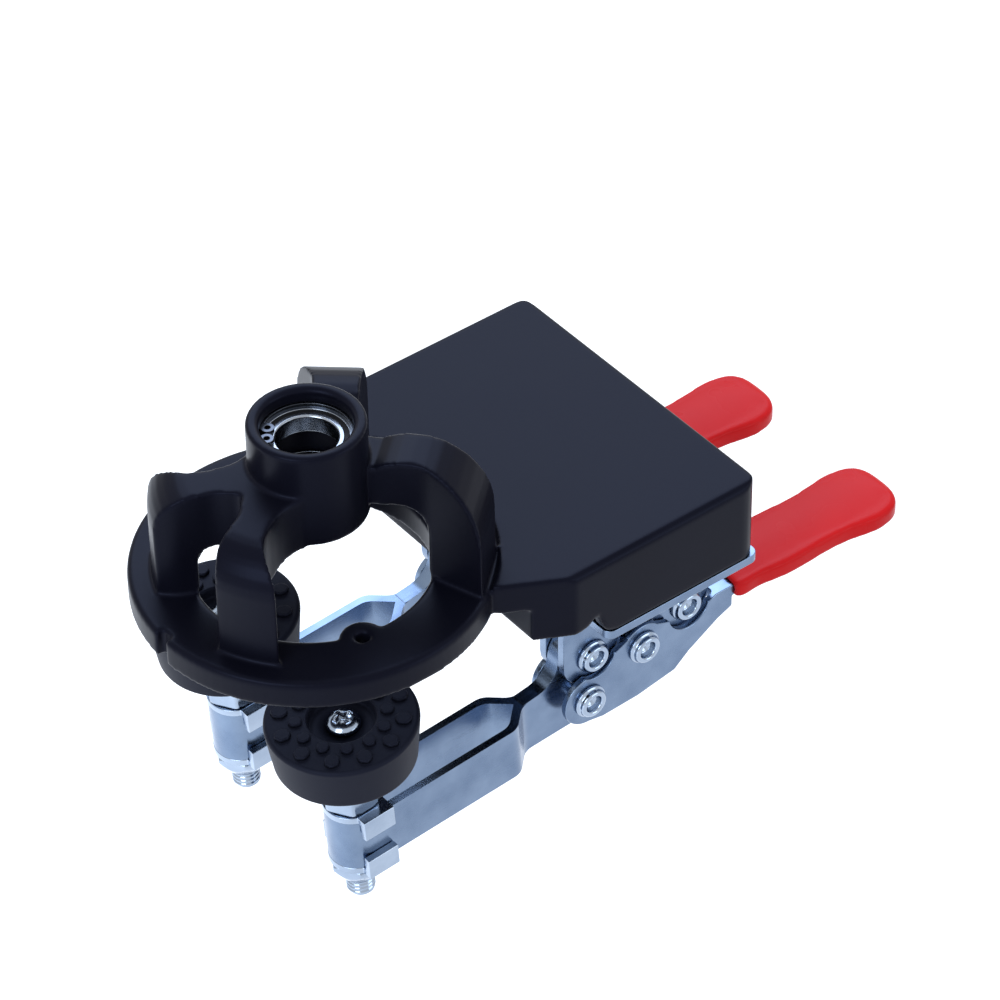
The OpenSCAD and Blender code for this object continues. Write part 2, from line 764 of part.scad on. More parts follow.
// Plan of the loop, drawn along x from the arm's pivot
pinch_bend_r = 4;
module arm_plan() {
  difference() {
    union() {
      translate([-spindle_reach, 0]) circle(loop_r);
      polygon(rounded([
        [-spindle_reach, -loop_r, 0],
        [-pinch_start, -loop_r, pinch_bend_r],
        [-pinch_reach, -plate_half, pinch_bend_r],
        [-pinch_reach + pinch_l, -plate_half, 0],
        [-pinch_reach + pinch_l, plate_half, 0],
        [-pinch_reach, plate_half, pinch_bend_r],
        [-pinch_start, loop_r, pinch_bend_r],
        [-spindle_reach, loop_r, 0]
      ]));
    }
    translate([-spindle_reach, 0]) circle(slot_r);
    polygon(rounded([
      [-spindle_reach, -slot_r, 0],
      [-pinch_start - arm_t / 2, -slot_r, pinch_bend_r],
      [-pinch_reach - arm_t / 2, 0, 0],
      [-pinch_start - arm_t / 2, slot_r, pinch_bend_r],
      [-spindle_reach, slot_r, 0]
    ]));
  }
}

// The plates at the pivots, in the arm's own frame: the pivot is the origin
arm_bottom = -arm_top_drop - arm_h;
function in_arm(p) =
  let(d = p - arm_pin)
  [d[0] * cos(arm_droop) + d[1] * sin(arm_droop), d[1] * cos(arm_droop) - d[0] * sin(arm_droop)];
arm_tail_share = 0.7;
module arm_tail_outline() {
  b = in_arm(handle_pin);
  polygon(rounded([
    [-pinch_reach - arm_t / 2, -arm_top_drop, arm_t],
    [-arm_lobe_r - arm_t, -arm_top_drop + arm_t / 2, arm_lobe_r],
    [-arm_lobe_r, arm_lobe_r, arm_lobe_r],
    [arm_lobe_r, arm_lobe_r, arm_lobe_r],
    [b[0] + arm_tail_r, b[1], arm_tail_r],
    [b[0] + arm_tail_r * arm_tail_share, arm_bottom, arm_tail_r],
    [-pinch_reach - arm_t / 2, arm_bottom, 0]
  ]));
}

module arm(side) {
  color("lightsteelblue") clamp(side) difference() {
    arm_frame() union() {
      translate([0, 0, arm_bottom]) linear_extrude(arm_h) arm_plan();
      upright(-plate_half, plate_half) arm_tail_outline();
    }
    for (p = [arm_pin, handle_pin]) cross_hole(p, bore_r, plate_half);
  }
}

// Spindle set: everything stands on the arm's frame, at the spindle's axis
module spindle_frame(side) {
  clamp(side) arm_frame() translate([-spindle_reach, 0, 0]) children();
}

spindle_bottom = arm_bottom - spindle_tail - soft_gap / 3;
spindle_top = spindle_bottom + spindle_l;
pad_top = spindle_top + pad_recess_h;
pad_bottom = pad_top - pad_h;
upper_nut_z = -arm_top_drop + washer_t;
lower_nut_z = arm_bottom - washer_t - nut_h;

// A washer's plate follows the loop's round front, and two lips beside the spindle fold over the
// arm's sides; lip_dir is -1 for the upper washer
lip_play = 0.1;
module flanged_washer(lip_dir) {
  lip_y = loop_r + lip_play;
  plate_z = lip_dir < 0 ? 0 : -washer_t;
  lip_z = lip_dir < 0 ? -washer_lip : -washer_t;
  difference() {
    union() {
      translate([0, 0, plate_z]) cylinder(r = lip_y, h = washer_t);
      translate([-washer_front, -lip_y - washer_t, plate_z]) cube([washer_l, 2 * (lip_y + washer_t), washer_t]);
      for (side = [-1, 1])
        translate([-washer_front, side * (lip_y + washer_t / 2) - washer_t / 2, lip_z])
          cube([washer_l, washer_t, washer_lip + washer_t]);
    }
    translate([0, 0, plate_z - cut]) cylinder(d = spindle_d + 2 * running, h = washer_t + 2 * cut);
  }
}

module upper_washer(side) {
  color("silver") spindle_frame(side) translate([0, 0, -arm_top_drop]) flanged_washer(-1);
}

module lower_washer(side) {
  color("silver") spindle_frame(side) translate([0, 0, arm_bottom]) flanged_washer(1);
}

// A hexagonal nut with its corners eased at both faces
nut_ease = 0.6;
module nut_at(z) {
  corner_r = nut_af / sqrt(3);
  flat_r = nut_af / 2;
  color("gainsboro") translate([0, 0, z]) difference() {
    intersection() {
      cylinder(r = corner_r, h = nut_h, $fn = 6);
      rotate_extrude($fn = 48) polygon([
        [0, 0],
        [flat_r, 0],
        [corner_r, nut_ease],
        [corner_r, nut_h - nut_ease],
        [flat_r, nut_h],
        [0, nut_h]
      ]);
    }
    translate([0, 0, -cut]) cylinder(d = spindle_d + 2 * running, h = nut_h + 2 * cut);
  }
}

module upper_nut(side) {
  spindle_frame(side) nut_at(upper_nut_z);
}

module lower_nut(side) {
  spindle_frame(side) nut_at(lower_nut_z);
}

// A threaded spindle, drawn as a plain shaft with an eased tip and a domed head
tip_ease = 0.8;
module spindle(side) {
  spindle_r = spindle_d / 2;
  head_r = spindle_head_d / 2;
  color("silver") spindle_frame(side) difference() {
    union() {
      rotate_extrude($fn = 48) polygon([
        [0, spindle_bottom],
        [spindle_r - tip_ease, spindle_bottom],
        [spindle_r, spindle_bottom + tip_ease],
        [spindle_r, spindle_top],
        [0, spindle_top]
      ]);
      translate([0, 0, spindle_top]) intersection() {
        cylinder(r = head_r, h = spindle_head_h, $fn = 48);
        dome_r = (head_r * head_r + spindle_head_h * spindle_head_h) / (2 * spindle_head_h) + tip_ease;
        translate([0, 0, spindle_head_h - dome_r]) sphere(dome_r, $fn = 64);
      }
    }
    translate([0, 0, spindle_top + spindle_head_h]) cross_recess(head_r, spindle_head_h / 2);
  }
}

// A rubber pad: a tapered drum with a recess for the spindle's head and two rings of tread blocks
pad_taper = 1;
pad_edge = 0.8;
tread_ring_share = 0.62;
module pad(side) {
  pad_r = pad_d / 2;
  recess_r = pad_recess_d / 2;
  seat_z = pad_h - pad_recess_h;
  ring_mid = recess_r + (pad_r - recess_r) * tread_ring_share;
  color([0.13, 0.13, 0.14]) spindle_frame(side) translate([0, 0, pad_bottom]) difference() {
    rotate_extrude($fn = 72) polygon([
      [0, 0],
      [pad_r - pad_taper - pad_edge, 0],
      [pad_r - pad_taper, pad_edge],
      [pad_r, pad_h - pad_edge],
      [pad_r - pad_edge, pad_h],
      [0, pad_h]
    ]);
    translate([0, 0, seat_z]) cylinder(r = recess_r, h = pad_recess_h + cut);
    translate([0, 0, -cut]) cylinder(d = spindle_d, h = pad_h + 2 * cut);
    translate([0, 0, pad_h - tread_h]) difference() {
      cylinder(r = ring_mid + tread_w / 2, h = tread_h + cut, $fn = 72);
      translate([0, 0, -cut]) cylinder(r = ring_mid - tread_w / 2, h = tread_h + 3 * cut, $fn = 72);
    }
    for (i = [0:tread_n - 1]) rotate([0, 0, 360 * i / tread_n])
      translate([recess_r + pad_edge, -tread_w / 2, pad_h - tread_h]) cube([pad_r, tread_w, tread_h + cut]);
  }
}

// A link from its pivot to the toggle pin. Its eye is a slot towards the pivot, because the
// four pivots of a clamp turn at steady rates here and the toggle pin then wanders in its eye
eye_travel = 2.9;
eye_side_play = 0.65;
link_wall = 1.2;
link_end_r = 4.6;
module link(side) {
  along = toggle_pin - link_pin;
  reach = norm(along);
  turn = atan2(along[1], along[0]);
  eye_r = rivet_r + eye_side_play;
  half_t = plate_half - side_play / 2;
  color("slategray") clamp(side) translate([link_pin[0], half_t, link_pin[1]]) rotate([90, 0, 0]) rotate([0, 0, turn])
    linear_extrude(half_t * 2) difference() {
      union() {
        circle(link_end_r);
        translate([reach, 0]) circle(eye_r + link_wall);
        translate([0, -eye_r - link_wall]) square([reach, 2 * (eye_r + link_wall)]);
      }
      circle(bore_r);
      translate([reach, 0]) circle(eye_r);
      translate([reach - eye_travel, 0]) circle(eye_r);
      translate([reach - eye_travel, -eye_r]) square([eye_travel, 2 * eye_r]);
    }
}

// Handles: two cheeks outside the brackets, joined behind them by a crown that runs into the paddle
crown_x = link_pin[0] + link_lobe_r + side_play * 5;
grip_x = crown_x + neck_l;
grip_top = arm_pin[1] + grip_rise;
cheek_h = 19.5;          // height of the cheeks, from the lower edge to the top of the toggle lobe
cheek_l = grip_x - handle_pin[0];
crown_top = grip_top - grip_wall;
// Lower edge of a cheek, as shares of its length and height from the handle's pivot
cheek_lower_shares = [[0.1, -0.345], [0.34, -0.33], [0.6, -0.25], [0.7, -0.09], [0.9, 0.14], [1, 0.22]];
link_head_room = 1.6;
arm_head_room = 1.2;
paddle_t = 2.8;
lobe_edge_share = 0.98;  // height of the cheeks' straight edges on their lobes
module cheek_outline() {
  head_r = rivet_head_d / 2;
  difference() {
    union() {
      translate(handle_pin) circle(handle_end_r);
      translate(toggle_pin) circle(toggle_lobe_r);
      polygon(concat(
        [for (s = cheek_lower_shares) handle_pin + [s[0] * cheek_l, s[1] * cheek_h]],
        [
          [grip_x, crown_top],
          [crown_x, crown_top],
          [crown_x - link_lobe_r, toggle_pin[1]],
          [toggle_pin[0], toggle_pin[1] + toggle_lobe_r * lobe_edge_share],
          [handle_pin[0], handle_pin[1] + handle_end_r * lobe_edge_share],
          [handle_pin[0], handle_pin[1] - handle_end_r]
        ]
      ));
    }
    translate(link_pin) circle(head_r + link_head_room);
    translate(arm_pin) circle(head_r + arm_head_room);
    for (p = [handle_pin, toggle_pin]) translate(p) circle(rivet_r);
  }
}

// The paddle seen from above, from the crown to its round end inside the grip. Its two bends on
// each side are given as shares of the grip's length: their place and their radius
neck_half = 5.6;
paddle_bend_shares = [[0.45, 0.25], [0.7, 0.17]];
module paddle_plan() {
  end_half = grip_w / 2 - grip_wall * 2;
  end_x = grip_x + grip_l - grip_wall;
  near = [
    [crown_x, cheek_out, 0],
    [grip_x, neck_half, 0],
    [grip_x + grip_l * paddle_bend_shares[0][0], neck_half, grip_l * paddle_bend_shares[0][1]],
    [grip_x + grip_l * paddle_bend_shares[1][0], end_half, grip_l * paddle_bend_shares[1][1]],
    [end_x, end_half, end_half]
  ];
  polygon(rounded(concat(near, [for (i = [len(near) - 1:-1:0]) [near[i][0], -near[i][1], near[i][2]]])));
}

module paddle_solid() {
  translate([0, 0, crown_top - paddle_t]) linear_extrude(paddle_t) paddle_plan();
}

module handle(side) {
  color("lightsteelblue") clamp(side) {
    for (turn = [0, 1]) mirror([0, turn, 0]) upright(cheek_in, cheek_out) cheek_outline();
    paddle_solid();
  }
}

// A grip's outline from above, on each side as shares of its length and half its width
grip_near_shares = [[0, 0.66], [0.14, 0.76], [0.3, 0.86], [0.5, 0.84], [0.64, 0.86], [0.82, 1], [0.95, 0.78]];
grip_far_shares = [[0.95, 0.66], [0.82, 0.86], [0.64, 0.8], [0.5, 0.8], [0.3, 0.84], [0.14, 0.76], [0, 0.66]];
module grip_plan() {
  half = grip_w / 2;
  near = [for (s = grip_near_shares) [grip_x + s[0] * grip_l, -s[1] * half]];
  far = [for (s = grip_far_shares) [grip_x + s[0] * grip_l, s[1] * half]];
  intersection() {
    polygon(smooth(concat(near, [[grip_x + grip_l, 0]], far), arc_steps));
    translate([grip_x, -grip_w]) square([grip_l, grip_w * 2]);
  }
}

// Its side view: a soft hump on top and underneath, eased at both ends
grip_ease = 1.6;
module grip_side() {
  polygon(rounded([
    [grip_x, grip_top - grip_t, grip_ease],
    [grip_x + grip_l, grip_top - grip_t, grip_t / 2],
    [grip_x + grip_l, grip_top, grip_t / 3],
    [grip_x, grip_top, grip_ease / 2]
  ]));
}

module grip(side) {
  color([0.80, 0.15, 0.15]) clamp(side) difference() {
    intersection() {
      translate([0, 0, grip_top - grip_t * 2]) linear_extrude(grip_t * 3) grip_plan();
      upright(-grip_w, grip_w) grip_side();
    }
    paddle_solid();
    for (turn = [0, 1]) mirror([0, turn, 0]) upright(cheek_in, cheek_out) cheek_outline();
  }
}

// Each node by its name, for the two bearings and then for the two clamps
jig_body();

outer_race(upper_z);  // upper_outer_race
inner_race(upper_z);  // upper_inner_race
balls(upper_z);  // upper_balls
cage(upper_z);  // upper_cage
seals(upper_z);  // upper_seals
circlip(upper_z + bearing_w / 2);  // upper_circlip
outer_race(lower_z);  // lower_outer_race
inner_race(lower_z);  // lower_inner_race
balls(lower_z);  // lower_balls
cage(lower_z);  // lower_cage
seals(lower_z);  // lower_seals
circlip(lower_z - bearing_w / 2 - circlip_t);  // lower_circlip

for (side = [-1, 1]) {
  name = side < 0 ? "left_" : "right_";
  outer_bracket(side);
  inner_bracket(side);
  bracket_screws(side);
  clamp(side) rivet(arm_pin, web_out);
  clamp(side) rivet(link_pin, web_out);
  arm(side);
  upper_washer(side);
  lower_washer(side);
  upper_nut(side);
  lower_nut(side);
  spindle(side);
  pad(side);
  link(side);
  handle(side);
  grip(side);
  clamp(side) rivet(handle_pin, cheek_out);
  clamp(side) rivet(toggle_pin, cheek_out);
}
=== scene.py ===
# %% [markdown]
# # A hinge jig
# This jig guides a 12 mm drill shaft, so that a cabinet door gets a round pocket for its hinge.
# A black moulding carries a bearing tower on four arched legs, and two steel toggle clamps press
# the door against it from below. The lesson starts from a finished engineering model and dresses
# it. Folded steel keeps its exact shape and gets a real finish, and what was moulded, dipped,
# threaded or riveted gets a mesh of its own.

# %% Load the engineering model
import json
import math
import bmesh
import bpy
from mathutils import Matrix, Vector
from mathutils.kdtree import KDTree


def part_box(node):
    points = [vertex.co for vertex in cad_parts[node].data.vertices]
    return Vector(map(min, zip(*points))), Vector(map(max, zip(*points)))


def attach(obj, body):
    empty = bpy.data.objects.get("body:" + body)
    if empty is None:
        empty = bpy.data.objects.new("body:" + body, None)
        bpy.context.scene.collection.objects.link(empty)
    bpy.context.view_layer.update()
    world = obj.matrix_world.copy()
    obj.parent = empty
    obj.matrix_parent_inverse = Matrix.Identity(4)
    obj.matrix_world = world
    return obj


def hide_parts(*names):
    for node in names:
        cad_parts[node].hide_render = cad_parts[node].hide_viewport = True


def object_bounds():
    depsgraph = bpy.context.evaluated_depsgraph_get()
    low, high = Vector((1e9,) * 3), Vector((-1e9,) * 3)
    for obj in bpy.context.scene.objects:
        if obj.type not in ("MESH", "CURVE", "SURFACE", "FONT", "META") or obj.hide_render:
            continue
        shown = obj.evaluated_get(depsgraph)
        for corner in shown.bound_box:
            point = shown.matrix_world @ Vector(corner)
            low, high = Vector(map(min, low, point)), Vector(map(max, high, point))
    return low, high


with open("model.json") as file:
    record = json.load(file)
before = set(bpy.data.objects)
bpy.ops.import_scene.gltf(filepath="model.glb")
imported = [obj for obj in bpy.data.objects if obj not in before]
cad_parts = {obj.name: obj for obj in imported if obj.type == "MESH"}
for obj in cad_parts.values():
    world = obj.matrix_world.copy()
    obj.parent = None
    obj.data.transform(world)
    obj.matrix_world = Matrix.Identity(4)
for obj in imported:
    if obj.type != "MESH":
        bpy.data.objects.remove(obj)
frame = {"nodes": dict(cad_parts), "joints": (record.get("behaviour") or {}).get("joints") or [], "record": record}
cad_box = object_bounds()
nodes = frame["nodes"]
SIDES = ("left", "right")
MM = 0.001


def in_mm(corners):
    return [[round(v / MM, 1) for v in corner] for corner in corners]


print(len(nodes), "nodes, box in mm:", in_mm(cad_box))

# %% [markdown]
# ## The camera
# A product photograph is taken from far away with a long lens, so its lines stay nearly parallel.
# The camera is set by the direction that it looks along, its distance and a small roll. A wide
# lens close by would be simpler to place, but it would swell the front of the ring.

# %% Camera
RING_TOP = -28.6 * MM
VIEW_TURN = math.radians(-37.59)
VIEW_RISE = math.radians(40.98)
VIEW_ROLL = math.radians(-0.83)
VIEW_DISTANCE = 867.74 * MM
VIEW_ACROSS = 36.11 * MM
VIEW_UP = 11.09 * MM
FOCAL_LENGTH = 161.76
FARTHEST_SEEN = 10


def camera_axes():
    """Right, up and back of the camera, as directions in the scene."""
    back = Vector((math.sin(VIEW_TURN) * math.cos(VIEW_RISE),
                   -math.cos(VIEW_TURN) * math.cos(VIEW_RISE), math.sin(VIEW_RISE)))
    level = Vector((math.cos(VIEW_TURN), math.sin(VIEW_TURN), 0))
    raised = back.cross(level)
    right = level * math.cos(VIEW_ROLL) + raised * math.sin(VIEW_ROLL)
    up = raised * math.cos(VIEW_ROLL) - level * math.sin(VIEW_ROLL)
    return right, up, back


right, up, back = camera_axes()
camera = bpy.data.objects.new("camera", bpy.data.cameras.new("camera"))
bpy.context.scene.collection.objects.link(camera)
place = Vector((0, 0, RING_TOP)) + back * VIEW_DISTANCE + right * VIEW_ACROSS + up * VIEW_UP
turned = Matrix((right, up, back)).transposed().to_4x4()
camera.matrix_world = Matrix.Translation(place) @ turned
camera.data.lens = FOCAL_LENGTH
camera.data.clip_end = FARTHEST_SEEN
bpy.context.scene.camera = camera
print("camera at", [round(v, 3) for v in place], "with a", FOCAL_LENGTH, "mm lens")

# %% [markdown]
# ## The studio
# Black plastic and plated steel are drawn by what they reflect, so the studio matters as much as
# the materials. The background could be a bright world, but that would also light the jig from
# all around and wash it out. So it is white only where it is seen directly, in a reflection or
# through something, which the Light Path node tells, and it lights the jig with a weaker colour.

# %% World
WORLD_LIGHT = 0.62
WORLD_TINT = (0.86, 0.92, 1.0, 1)
WHITE = (1, 1, 1, 1)
bpy.context.scene.view_settings.view_transform = "Standard"


def tree_of(owner):
    """Empties the node tree of a world or material and returns it."""
    owner.use_nodes = True
    tree = owner.node_tree
    tree.nodes.clear()
    return tree


def add(tree, kind, **values):
    """One node, with its properties and its sockets' values set by name."""
    node = tree.nodes.new(kind)
    for name, value in values.items():
        if hasattr(node, name):
            setattr(node, name, value)
        else:
            node.inputs[name.replace("_", " ")].default_value = value
    return node


def mixed(tree, factor, first, second):
    """The output of a mix of two shaders."""
    mix = add(tree, "ShaderNodeMixShader")
    for socket, source in zip(mix.inputs, (factor, first, second)):
        tree.links.new(source, socket)
    return mix.outputs[0]


def seen_directly(tree):
    """A factor that is 1 for the camera, for reflections and for what shines through."""
    path = add(tree, "ShaderNodeLightPath")
    first = add(tree, "ShaderNodeMath", operation="MAXIMUM")
    second = add(tree, "ShaderNodeMath", operation="MAXIMUM")
    tree.links.new(path.outputs["Is Camera Ray"], first.inputs[0])
    tree.links.new(path.outputs["Is Glossy Ray"], first.inputs[1])
    tree.links.new(first.outputs[0], second.inputs[0])
    tree.links.new(path.outputs["Is Transmission Ray"], second.inputs[1])
    return second.outputs[0]


def make_world():
    world = bpy.data.worlds.new("studio")
    bpy.context.scene.world = world
    tree = tree_of(world)
    soft = add(tree, "ShaderNodeBackground", Color=WORLD_TINT, Strength=WORLD_LIGHT)
    white = add(tree, "ShaderNodeBackground", Color=WHITE, Strength=1.0)
    out = add(tree, "ShaderNodeOutputWorld")
    both = mixed(tree, seen_directly(tree), soft.outputs[0], white.outputs[0])
    tree.links.new(both, out.inputs["Surface"])


make_world()
print("world at", WORLD_LIGHT)

# %% [markdown]
# ## Soft boxes
# A studio lights a product with a few broad, soft lamps. Small lamps would leave hard points on
# the plating, so three area lights stand round the jig: a large one behind it lays a sheen on
# its upper faces, a key light stands at its left and a weaker fill at its right.

# %% Lights
AIM = (0.03, 0, -0.04)
COOL = (0.80, 0.90, 1.0)
SHEEN_COLOR = (0.62, 0.76, 1.0)
# The place and the size of each light in metres, its power in watts and its colour
LIGHTS = {"sheen": ((0.50, 0.62, 0.66), (0.9, 0.6), 6.8, SHEEN_COLOR),
          "key": ((-0.70, -0.25, 0.45), (0.45, 0.55), 4.0, COOL),
          "fill": ((0.45, -0.75, 0.20), (0.5, 0.4), 1.6, COOL)}


def soft_box(name, place, size, power, tint):
    light = bpy.data.lights.new(name, "AREA")
    light.shape = "RECTANGLE"
    light.size, light.size_y = size
    light.energy = power
    light.color = tint
    lamp = bpy.data.objects.new(name, light)
    bpy.context.scene.collection.objects.link(lamp)
    lamp.location = place
    aim = Vector(AIM) - Vector(place)
    lamp.rotation_euler = aim.to_track_quat("-Z", "Y").to_euler()


for name, values in LIGHTS.items():
    soft_box(name, *values)
print(len(LIGHTS), "soft boxes")

# %% [markdown]
# ## The floor
# The jig hangs on a door when it is used and its clamps swing open below it, so the floor lies
# 75 mm under it. Plated steel shows whatever is around it, and an even floor would leave it flat.
# So the floor's matt colour runs from pale to grey across the jig, while a glow hides that from
# the camera. From below the floor is clear, so that the underside can be looked at.

# %% Floor
FLOOR_DROP = 75 * MM
FLOOR_SIZE = 6.0
FLOOR_CELLS = 4
FLOOR_GLOW = 0.80
FLOOR_DARK = (0.46, 0.46, 0.47, 1)
FLOOR_PALE = (0.95, 0.95, 0.95, 1)
FLOOR_BLEND = 0.12
FLOOR_DIRECTION = (0.7, -0.7, 0)


def graded_color(tree):
    """A colour that runs from pale to dark along a direction."""
    place = add(tree, "ShaderNodeTexCoord")
    across = add(tree, "ShaderNodeVectorMath", operation="DOT_PRODUCT")
    across.inputs[1].default_value = FLOOR_DIRECTION
    tree.links.new(place.outputs["Object"], across.inputs[0])
    share = add(tree, "ShaderNodeMapRange", From_Min=-FLOOR_BLEND, From_Max=FLOOR_BLEND)
    tree.links.new(across.outputs["Value"], share.inputs["Value"])
    tone = add(tree, "ShaderNodeMix", data_type="RGBA")
    tree.links.new(share.outputs["Result"], tone.inputs["Factor"])
    tone.inputs["A"].default_value = FLOOR_PALE
    tone.inputs["B"].default_value = FLOOR_DARK
    return tone.outputs["Result"]


def floor_material():
    material = bpy.data.materials.new("pale_floor")
    tree = tree_of(material)
    matt = add(tree, "ShaderNodeBsdfDiffuse")
    tree.links.new(graded_color(tree), matt.inputs["Color"])
    glow = add(tree, "ShaderNodeEmission", Color=WHITE, Strength=FLOOR_GLOW)
    dark = add(tree, "ShaderNodeEmission", Color=WHITE, Strength=0.0)
    total = add(tree, "ShaderNodeAddShader")
    tree.links.new(matt.outputs[0], total.inputs[0])
    lit = mixed(tree, seen_directly(tree), dark.outputs[0], glow.outputs[0])
    tree.links.new(lit, total.inputs[1])
    faces = add(tree, "ShaderNodeNewGeometry")
    clear = add(tree, "ShaderNodeBsdfTransparent")
    out = add(tree, "ShaderNodeOutputMaterial")
    shown = mixed(tree, faces.outputs["Backfacing"], total.outputs[0], clear.outputs[0])
    tree.links.new(shown, out.inputs["Surface"])
    return material


def make_floor():
    mesh = bmesh.new()
    bmesh.ops.create_grid(mesh, x_segments=FLOOR_CELLS, y_segments=FLOOR_CELLS,
                          size=FLOOR_SIZE / 2)
    data = bpy.data.meshes.new("floor")
    mesh.to_mesh(data)
    mesh.free()
    floor = bpy.data.objects.new("floor", data)
    floor.location.z = cad_box[0][2] - FLOOR_DROP
    bpy.context.scene.collection.objects.link(floor)
    data.materials.append(floor_material())


make_floor()
print("floor at", round((cad_box[0][2] - FLOOR_DROP) / MM, 1), "mm")

# %% [markdown]
# ## Finishes
# Several materials share two effects. Moulded and dipped surfaces have a fine uneven grain, and
# worked metal has faint streaks along the direction in which the sheet was rolled. The nodes
# could be copied into every material. As a node group with named inputs each effect is built
# once, so a change to it reaches every material that uses it.

# %% What both effects share


def new_group(name, inputs):
    """A shader node group with inputs given as (name, type, default)."""
    group = bpy.data.node_groups.new(name, "ShaderNodeTree")
    for label, kind, default in inputs:
        socket = group.interface.new_socket(name=label, in_out="INPUT", socket_type=kind)
        socket.default_value = default
    for label, kind in (("Color", "Color"), ("Roughness", "Float"), ("Height", "Float")):
        group.interface.new_socket(name=label, in_out="OUTPUT", socket_type="NodeSocket" + kind)
    return group, group.nodes.new("NodeGroupInput"), group.nodes.new("NodeGroupOutput")


def noise_of(group, vector, **values):
    """The noise texture that a vector samples."""
    noise = add(group, "ShaderNodeTexNoise", **values)
    group.links.new(vector, noise.inputs["Vector"])
    return noise


def vary(group, given, result, signal, middle, clouds, second_color, low, high):
    """The roughness follows a signal about its middle, and the colour follows the clouds."""
    link = group.links.new
    centred = add(group, "ShaderNodeMath", operation="SUBTRACT")
    centred.inputs[1].default_value = middle
    link(signal, centred.inputs[0])
    wander = add(group, "ShaderNodeMath", operation="MULTIPLY_ADD")
    link(centred.outputs[0], wander.inputs[0])
    link(given.outputs["Spread"], wander.inputs[1])
    link(given.outputs["Roughness"], wander.inputs[2])
    tone = add(group, "ShaderNodeMix", data_type="RGBA")
    share = add(group, "ShaderNodeMapRange", From_Min=low, From_Max=high)
    link(clouds, share.inputs["Value"])
    link(share.outputs["Result"], tone.inputs["Factor"])
    link(given.outputs["Color"], tone.inputs["A"])
    link(given.outputs[second_color], tone.inputs["B"])
    link(tone.outputs["Result"], result.inputs["Color"])
    link(wander.outputs[0], result.inputs["Roughness"])


# %% [markdown]
# ## Grain
# A moulded or dipped surface is never quite even: the mould's skin leaves a fine grain, and
# handling polishes it in broad patches. A photographed texture would need a scan and would show
# its seams. Two noise textures do both, a fine one for the height and a broad one for the rest.

# %% Grain of moulded surfaces
GRAIN_SCALE = 900.0
GRAIN_SPREAD = 0.08
GRAIN_DETAIL = 4.0
WEAR_SCALE = 55.0
WEAR_DETAIL = 3.0
WEAR_RANGE = (0.35, 0.8)
NOISE_MIDDLE = 0.5


def make_grain_group():
    """Fine grain: a height for the bump, and a roughness and a colour that wander a little."""
    group, given, result = new_group(
        "moulded_grain",
        [("Scale", "NodeSocketFloat", GRAIN_SCALE), ("Roughness", "NodeSocketFloat", 0.4),
         ("Spread", "NodeSocketFloat", GRAIN_SPREAD),
         ("Color", "NodeSocketColor", (0.1, 0.1, 0.1, 1)),
         ("Worn Color", "NodeSocketColor", (0.2, 0.2, 0.2, 1))])
    place = add(group, "ShaderNodeTexCoord").outputs["Object"]
    fine = noise_of(group, place, Detail=GRAIN_DETAIL)
    broad = noise_of(group, place, Scale=WEAR_SCALE, Detail=WEAR_DETAIL).outputs["Fac"]
    group.links.new(given.outputs["Scale"], fine.inputs["Scale"])
    vary(group, given, result, broad, NOISE_MIDDLE, broad, "Worn Color", *WEAR_RANGE)
    group.links.new(fine.outputs["Fac"], result.inputs["Height"])
    return group


GRAIN = make_grain_group()
print("group", GRAIN.name, "with", len(GRAIN.nodes), "nodes")

# %% [markdown]
# ## Streaks
# Rolling drags fine streaks into a steel sheet, and plating lays cloudy patches over them. An
# anisotropic shader would only stretch the highlights. Here one noise is squeezed along two axes,
# which draws it out into streaks along the third, and a second one makes the clouds.

# %% Streaks of worked metal
STREAK_SPREAD = 0.12
STREAK_DETAIL = 3.0
CLOUD_SCALE = 120.0
CLOUD_DETAIL = 4.0
CLOUD_RANGE = (0.3, 0.75)


def make_streak_group():
    """Rolled or drawn metal: faint streaks along one direction over broad clouds of plating."""
    group, given, result = new_group(
        "worked_metal",
        [("Stretch", "NodeSocketVector", (40.0, 900.0, 900.0)),
         ("Roughness", "NodeSocketFloat", 0.3), ("Spread", "NodeSocketFloat", STREAK_SPREAD),
         ("Color", "NodeSocketColor", (0.6, 0.6, 0.6, 1)),
         ("Cloud Color", "NodeSocketColor", (0.5, 0.5, 0.5, 1))])
    link = group.links.new
    place = add(group, "ShaderNodeTexCoord").outputs["Object"]
    stretch = add(group, "ShaderNodeVectorMath", operation="MULTIPLY")
    link(place, stretch.inputs[0])
    link(given.outputs["Stretch"], stretch.inputs[1])
    streak = noise_of(group, stretch.outputs[0], Scale=1.0, Detail=STREAK_DETAIL).outputs["Fac"]
    cloud = noise_of(group, place, Scale=CLOUD_SCALE, Detail=CLOUD_DETAIL).outputs["Fac"]
    both = add(group, "ShaderNodeMath", operation="ADD")
    link(streak, both.inputs[0])
    link(cloud, both.inputs[1])
    vary(group, given, result, both.outputs[0], 2 * NOISE_MIDDLE, cloud, "Cloud Color",
         *CLOUD_RANGE)
    link(streak, result.inputs["Height"])
    return group


STREAKS = make_streak_group()
print("group", STREAKS.name, "with", len(STREAKS.nodes), "nodes")

# %% [markdown]
# ## Plastic, rubber and vinyl
# The body is moulded nylon, the pads and seals are rubber, and the grips were dipped in vinyl.
# A ready-made plastic would look the same on all of them. Here a material places a shared effect,
# wires it to a Principled shader and adds a Bump node. The shader stays in the material, so each
# finish sets how strongly and in which tint it shines.

# %% Materials of plastic and rubber
PLASTIC_BUMP = 0.02 * MM
SHEEN_TINT = (0.55, 0.62, 1.0, 1)
VINYL_TINT = (1.0, 0.72, 0.72, 1)


